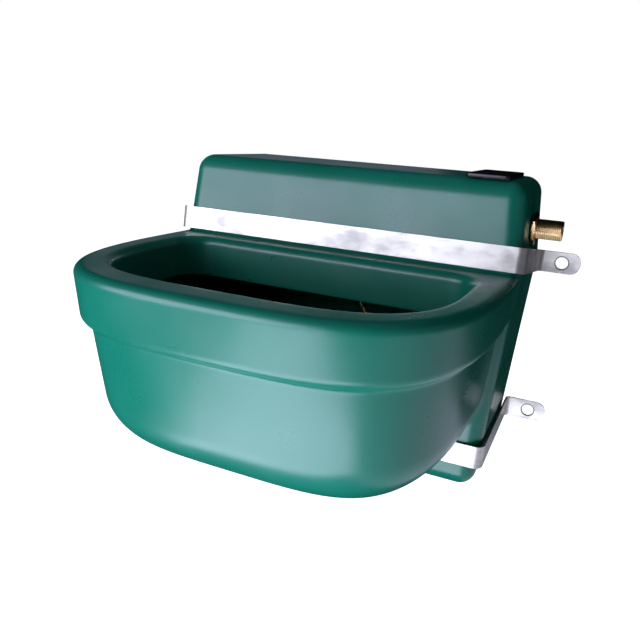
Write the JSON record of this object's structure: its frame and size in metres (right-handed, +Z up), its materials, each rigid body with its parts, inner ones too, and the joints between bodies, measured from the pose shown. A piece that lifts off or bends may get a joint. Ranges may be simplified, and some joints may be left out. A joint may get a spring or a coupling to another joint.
{
  "type": "float valve",
  "caption": "Wall-hung drinking bowl with a closed float chamber, fixing straps and a lever-operated float valve that refills it.",
  "frame": {"origin": "on the flat back face, halfway along its width, at the height of the upper strap's fixing holes", "axes": "+X towards the water inlet, +Y towards the wall, +Z up"},
  "size_m": [0.4898, 0.4052, 0.3299],
  "materials": {
    "green_plastic": "moulded, soft gloss",
    "black_plastic": "moulded, satin",
    "stainless": "rolled and lightly brushed",
    "brass": "machined",
    "rubber": "matt",
    "nylon": "satin"
  },
  "bodies": {
    "trough": {"trough_body": "green_plastic", "upper_strap": "stainless", "lower_strap": "stainless", "valve_body": "brass", "inlet_tail": "brass", "outer_backnut": "brass", "outer_washer": "rubber", "inner_backnut": "brass", "inner_washer": "rubber", "seat_nozzle": "nylon", "end_cap": "brass", "pivot_pin": "brass"},
    "cap": {"access_cap": "black_plastic"},
    "piston": {"piston": "brass", "piston_cap": "brass", "piston_washer": "rubber"},
    "lever": {"lever_arm": "brass"},
    "thumb_screw": {"thumb_screw": "brass"},
    "float_drop": {"drop_rod": "brass", "float": "black_plastic", "float_bush": "brass", "float_nut": "brass"}
  },
  "joints": [
    {"name": "cap_lift", "type": "slide", "parent": "trough", "child": "cap", "axis": [0, 0, 1], "range_m": [0, 0.05]},
    {"name": "lever_hinge", "type": "hinge", "parent": "trough", "child": "lever", "pos_m": [0.095, -0.08, 0.028], "axis": [0, 1, 0], "range_deg": [0, 34]},
    {"name": "piston_slide", "type": "slide", "parent": "trough", "child": "piston", "axis": [1, 0, 0], "range_m": [0, 0.0071]},
    {"name": "thumb_screw_turn", "type": "hinge", "parent": "lever", "child": "thumb_screw", "pos_m": [-0.0078, -0.08, -0.04134], "axis": [-0.829, 0, -0.5592], "continuous": true},
    {"name": "drop_rod_slide", "type": "slide", "parent": "lever", "child": "float_drop", "axis": [0.5592, 0, -0.829], "range_m": [-0.01, 0.01]}
  ],
  "couplings": [
    {"joint": "piston_slide", "follows": "lever_hinge", "m_per_rad": 0.0119}
  ]
}
